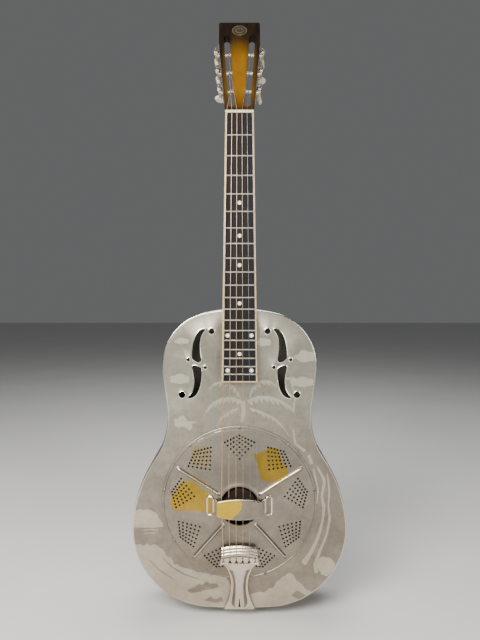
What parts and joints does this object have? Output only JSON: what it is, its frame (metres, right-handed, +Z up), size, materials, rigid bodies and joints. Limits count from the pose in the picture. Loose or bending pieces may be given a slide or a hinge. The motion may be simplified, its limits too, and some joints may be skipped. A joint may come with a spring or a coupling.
{
  "type": "resonator guitar",
  "caption": "Metal-bodied resonator guitar with one cone under a domed grille cover, a slotted head and a twelve-fret neck.",
  "frame": {"origin": "centre of the bounding box's base, at the strap button's tip", "axes": "+Z up the neck, front faces -Y, bass strings on the -X side"},
  "size_m": [0.3562, 0.116, 0.9984],
  "materials": {
    "aged_nickel": "nickel plate gone warm and dull, worn to brass in places",
    "bare_brass": "unplated brass sheet",
    "maple": "plain maple",
    "mahogany_stick": "unfinished mahogany",
    "spun_aluminium": "thin spun aluminium with fine rings",
    "dark_maple": "dark-stained maple",
    "dark_steel": "dark steel",
    "screw_steel": "dull nickel-plated steel",
    "aged_ivoroid": "cream celluloid with age",
    "mahogany_sunburst": "gloss lacquer, amber fading to dark brown at the edges",
    "black_board": "ebonised pearwood, satin",
    "nickel_silver": "worn fret and hardware metal",
    "pearl": "pearl inlay",
    "gear_brass": "aged brass",
    "bronze_wound": "phosphor-bronze winding over steel",
    "plain_steel": "bright plain steel"
  },
  "bodies": {
    "guitar": {"body_top": "aged_nickel", "body_sides": "aged_nickel", "body_back": "aged_nickel", "resonator_well": "bare_brass", "end_block": "maple", "neck_stick": "mahogany_stick", "stick_supports": "maple", "resonator_cone": "spun_aluminium", "biscuit": "dark_maple", "biscuit_screw": "dark_steel", "saddle": "maple", "coverplate": "aged_nickel", "coverplate_screws": "screw_steel", "hand_rest": "aged_nickel", "tailpiece": "aged_nickel", "tailpiece_screws": "screw_steel", "strap_button": "aged_ivoroid", "neck": "mahogany_sunburst", "reinforcing_bar": "dark_steel", "fingerboard": "black_board", "fingerboard_binding": "aged_ivoroid", "fingerboard_shim": "mahogany_sunburst", "fingerboard_screws": "dark_steel", "frets": "nickel_silver", "position_dots": "pearl", "nut": "aged_ivoroid", "tuner_plate_bass": "screw_steel", "tuner_plate_treble": "screw_steel", "tuner_plate_screws": "screw_steel", "string_1": "bronze_wound", "string_2": "bronze_wound", "string_3": "bronze_wound", "string_4": "bronze_wound", "string_5": "plain_steel", "string_6": "plain_steel"},
    "worm_low_e": {"worm_shaft_1": "screw_steel", "tuner_button_1": "aged_ivoroid"},
    "post_low_e": {"string_post_1": "screw_steel", "tuner_gear_1": "gear_brass"},
    "worm_a": {"worm_shaft_2": "screw_steel", "tuner_button_2": "aged_ivoroid"},
    "post_a": {"string_post_2": "screw_steel", "tuner_gear_2": "gear_brass"},
    "worm_d": {"worm_shaft_3": "screw_steel", "tuner_button_3": "aged_ivoroid"},
    "post_d": {"string_post_3": "screw_steel", "tuner_gear_3": "gear_brass"},
    "worm_g": {"worm_shaft_4": "screw_steel", "tuner_button_4": "aged_ivoroid"},
    "post_g": {"string_post_4": "screw_steel", "tuner_gear_4": "gear_brass"},
    "worm_b": {"worm_shaft_5": "screw_steel", "tuner_button_5": "aged_ivoroid"},
    "post_b": {"string_post_5": "screw_steel", "tuner_gear_5": "gear_brass"},
    "worm_high_e": {"worm_shaft_6": "screw_steel", "tuner_button_6": "aged_ivoroid"},
    "post_high_e": {"string_post_6": "screw_steel", "tuner_gear_6": "gear_brass"}
  },
  "joints": [
    {"name": "turn_button_low_e", "type": "hinge", "parent": "guitar", "child": "worm_low_e", "pos_m": [-0.03346, -0.0035, 0.87957], "axis": [0, 0.9711, -0.2385], "continuous": true},
    {"name": "turn_post_low_e", "type": "hinge", "parent": "guitar", "child": "post_low_e", "pos_m": [-0.0297, -0.00558, 0.87111], "axis": [-0.9964, -0.0202, -0.0822], "continuous": true},
    {"name": "turn_button_a", "type": "hinge", "parent": "guitar", "child": "worm_a", "pos_m": [-0.03643, 0.00485, 0.91356], "axis": [0, 0.9711, -0.2385], "continuous": true},
    {"name": "turn_post_a", "type": "hinge", "parent": "guitar", "child": "post_a", "pos_m": [-0.03268, 0.00277, 0.9051], "axis": [-0.9964, -0.0202, -0.0822], "continuous": true},
    {"name": "turn_button_d", "type": "hinge", "parent": "guitar", "child": "worm_d", "pos_m": [-0.03941, 0.0132, 0.94755], "axis": [0, 0.9711, -0.2385], "continuous": true},
    {"name": "turn_post_d", "type": "hinge", "parent": "guitar", "child": "post_d", "pos_m": [-0.03565, 0.01112, 0.93909], "axis": [-0.9964, -0.0202, -0.0822], "continuous": true},
    {"name": "turn_button_g", "type": "hinge", "parent": "guitar", "child": "worm_g", "pos_m": [0.03941, 0.0132, 0.94755], "axis": [0, 0.9711, -0.2385], "continuous": true},
    {"name": "turn_post_g", "type": "hinge", "parent": "guitar", "child": "post_g", "pos_m": [0.03565, 0.01112, 0.93909], "axis": [0.9964, -0.0202, -0.0822], "continuous": true},
    {"name": "turn_button_b", "type": "hinge", "parent": "guitar", "child": "worm_b", "pos_m": [0.03643, 0.00485, 0.91356], "axis": [0, 0.9711, -0.2385], "continuous": true},
    {"name": "turn_post_b", "type": "hinge", "parent": "guitar", "child": "post_b", "pos_m": [0.03268, 0.00277, 0.9051], "axis": [0.9964, -0.0202, -0.0822], "continuous": true},
    {"name": "turn_button_high_e", "type": "hinge", "parent": "guitar", "child": "worm_high_e", "pos_m": [0.03346, -0.0035, 0.87957], "axis": [0, 0.9711, -0.2385], "continuous": true},
    {"name": "turn_post_high_e", "type": "hinge", "parent": "guitar", "child": "post_high_e", "pos_m": [0.0297, -0.00558, 0.87111], "axis": [0.9964, -0.0202, -0.0822], "continuous": true}
  ],
  "couplings": [
    {"joint": "turn_post_low_e", "follows": "turn_button_low_e", "ratio": -0.066667},
    {"joint": "turn_post_a", "follows": "turn_button_a", "ratio": -0.066667},
    {"joint": "turn_post_d", "follows": "turn_button_d", "ratio": -0.066667},
    {"joint": "turn_post_g", "follows": "turn_button_g", "ratio": -0.066667},
    {"joint": "turn_post_b", "follows": "turn_button_b", "ratio": -0.066667},
    {"joint": "turn_post_high_e", "follows": "turn_button_high_e", "ratio": -0.066667}
  ]
}
